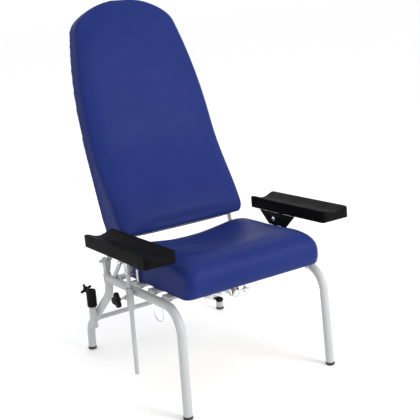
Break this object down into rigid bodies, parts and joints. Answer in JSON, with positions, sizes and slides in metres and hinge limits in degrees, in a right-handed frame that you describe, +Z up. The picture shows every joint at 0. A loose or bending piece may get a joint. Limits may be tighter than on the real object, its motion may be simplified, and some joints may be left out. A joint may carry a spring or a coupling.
{
  "type": "patient recliner chair",
  "caption": "Patient chair for blood sampling: padded back that reclines on a gas spring, welded tube frame, height-adjustable swivelling arm gutters, drip-stand socket and bag hook.",
  "frame": {"origin": "on the floor under the middle of the chair, halfway across its width and its depth", "axes": "+Z up, the sitter faces -Y, +X is to the right for somebody who stands in front of the chair; nodes named left are on the -X side"},
  "size_m": [0.807, 0.8626, 1.3037],
  "materials": {
    "white_paint": "satin",
    "blue_vinyl": "satin",
    "black_foam": "matte",
    "black_plastic": "satin",
    "grey_rubber": "matte",
    "zinc": "satin",
    "chrome": "polished",
    "plywood": "matte"
  },
  "bodies": {
    "chair_frame": {"arm_sleeve_left": "white_paint", "arm_sleeve_right": "white_paint", "bag_hook": "zinc", "drip_socket_sleeve": "black_plastic", "drip_socket_tube": "white_paint", "foot_cap_front_left": "grey_rubber", "foot_cap_front_right": "grey_rubber", "foot_cap_rear_left": "grey_rubber", "foot_cap_rear_right": "grey_rubber", "front_leg_left": "white_paint", "front_leg_right": "white_paint", "hinge_bolt_left": "zinc", "hinge_bolt_right": "zinc", "hinge_upright_left": "white_paint", "hinge_upright_right": "white_paint", "lever_bracket": "zinc", "rail_stud": "zinc", "rear_crossbar": "white_paint", "rear_leg_left": "white_paint", "rear_leg_right": "white_paint", "seat_board": "plywood", "seat_clip_left": "zinc", "seat_clip_right": "zinc", "seat_cushion": "blue_vinyl", "seat_slat_front": "white_paint", "seat_slat_inner": "white_paint", "seat_slat_middle": "white_paint", "seat_slat_rear": "white_paint", "seat_stay_bolt_left": "zinc", "seat_stay_bolt_right": "zinc", "seat_stay_left": "white_paint", "seat_stay_right": "white_paint", "spring_bracket": "zinc"},
    "backrest": {"back_cushion": "blue_vinyl", "back_board": "plywood", "back_carrier": "white_paint", "crank_bar": "white_paint", "back_arm_left": "white_paint", "back_arm_right": "white_paint"},
    "gas_cylinder": {"spring_head": "zinc", "spring_cylinder": "zinc"},
    "gas_rod": {"spring_rod": "chrome", "spring_fork": "zinc"},
    "lever": {"release_lever": "zinc", "release_knob": "black_plastic"},
    "link": {"release_link": "zinc"},
    "socket_knob": {"drip_socket_knob": "black_plastic"},
    "arm_lift_left": {"arm_rod_left": "white_paint"},
    "arm_swivel_left": {"arm_head_left": "zinc", "arm_pivot_bolt_left": "chrome"},
    "arm_rest_left": {"arm_pad_left": "black_foam", "arm_plate_left": "black_plastic"},
    "clamp_knob_left": {"arm_clamp_knob_left": "black_plastic"},
    "arm_lift_right": {"arm_rod_right": "white_paint"},
    "arm_swivel_right": {"arm_head_right": "zinc", "arm_pivot_bolt_right": "chrome"},
    "arm_rest_right": {"arm_pad_right": "black_foam", "arm_plate_right": "black_plastic"},
    "clamp_knob_right": {"arm_clamp_knob_right": "black_plastic"}
  },
  "joints": [
    {"name": "back_recline", "type": "hinge", "parent": "chair_frame", "child": "backrest", "pos_m": [0, 0.11773, 0.398], "axis": [-1, 0, 0], "range_deg": [0, 40]},
    {"name": "gas_spring_turn", "type": "hinge", "parent": "chair_frame", "child": "gas_cylinder", "pos_m": [-0.035, -0.32927, 0.3345], "axis": [1, 0, 0], "range_deg": [0, 0.6]},
    {"name": "gas_spring_stroke", "type": "slide", "parent": "gas_cylinder", "child": "gas_rod", "axis": [0, 0.9995, -0.0319], "range_m": [-0.056, 0]},
    {"name": "release_lever_turn", "type": "hinge", "parent": "chair_frame", "child": "lever", "pos_m": [-0.156, -0.36327, 0.362], "axis": [0, -1, 0], "range_deg": [0, 20], "stiffness_Nm_per_rad": 0.3, "springref_deg": -2.86},
    {"name": "release_link_pull", "type": "slide", "parent": "chair_frame", "child": "link", "axis": [-1, 0, 0], "range_m": [0, 0.0022]},
    {"name": "drip_socket_knob_turn", "type": "hinge", "parent": "chair_frame", "child": "socket_knob", "pos_m": [-0.3255, 0.18273, 0.266], "axis": [0, 1, 0], "range_deg": [0, 360]},
    {"name": "arm_lift_left", "type": "slide", "parent": "chair_frame", "child": "arm_lift_left", "axis": [0, 0, 1], "range_m": [0, 0.16]},
    {"name": "arm_swivel_left", "type": "hinge", "parent": "arm_lift_left", "child": "arm_swivel_left", "pos_m": [-0.32, -0.12527, 0.415], "axis": [0, 0, -1], "range_deg": [0, 45]},
    {"name": "arm_tilt_left", "type": "hinge", "parent": "arm_swivel_left", "child": "arm_rest_left", "pos_m": [-0.32, -0.12527, 0.4815], "axis": [1, 0, 0], "range_deg": [0, 20]},
    {"name": "clamp_knob_turn_left", "type": "hinge", "parent": "chair_frame", "child": "clamp_knob_left", "pos_m": [-0.32, -0.12527, 0.338], "axis": [-1, 0, 0], "range_deg": [0, 360]},
    {"name": "arm_lift_right", "type": "slide", "parent": "chair_frame", "child": "arm_lift_right", "axis": [0, 0, 1], "range_m": [0, 0.045]},
    {"name": "arm_swivel_right", "type": "hinge", "parent": "arm_lift_right", "child": "arm_swivel_right", "pos_m": [0.32, -0.12527, 0.415], "axis": [0, 0, 1], "range_deg": [0, 45]},
    {"name": "arm_tilt_right", "type": "hinge", "parent": "arm_swivel_right", "child": "arm_rest_right", "pos_m": [0.32, -0.12527, 0.4815], "axis": [1, 0, 0], "range_deg": [0, 20]},
    {"name": "clamp_knob_turn_right", "type": "hinge", "parent": "chair_frame", "child": "clamp_knob_right", "pos_m": [0.32, -0.12527, 0.338], "axis": [1, 0, 0], "range_deg": [0, 360]}
  ],
  "couplings": [
    {"joint": "gas_spring_turn", "follows": "back_recline", "ratio": 0.0112},
    {"joint": "gas_spring_stroke", "follows": "back_recline", "m_per_rad": -0.0772},
    {"joint": "release_link_pull", "follows": "release_lever_turn", "m_per_rad": 0.006}
  ]
}
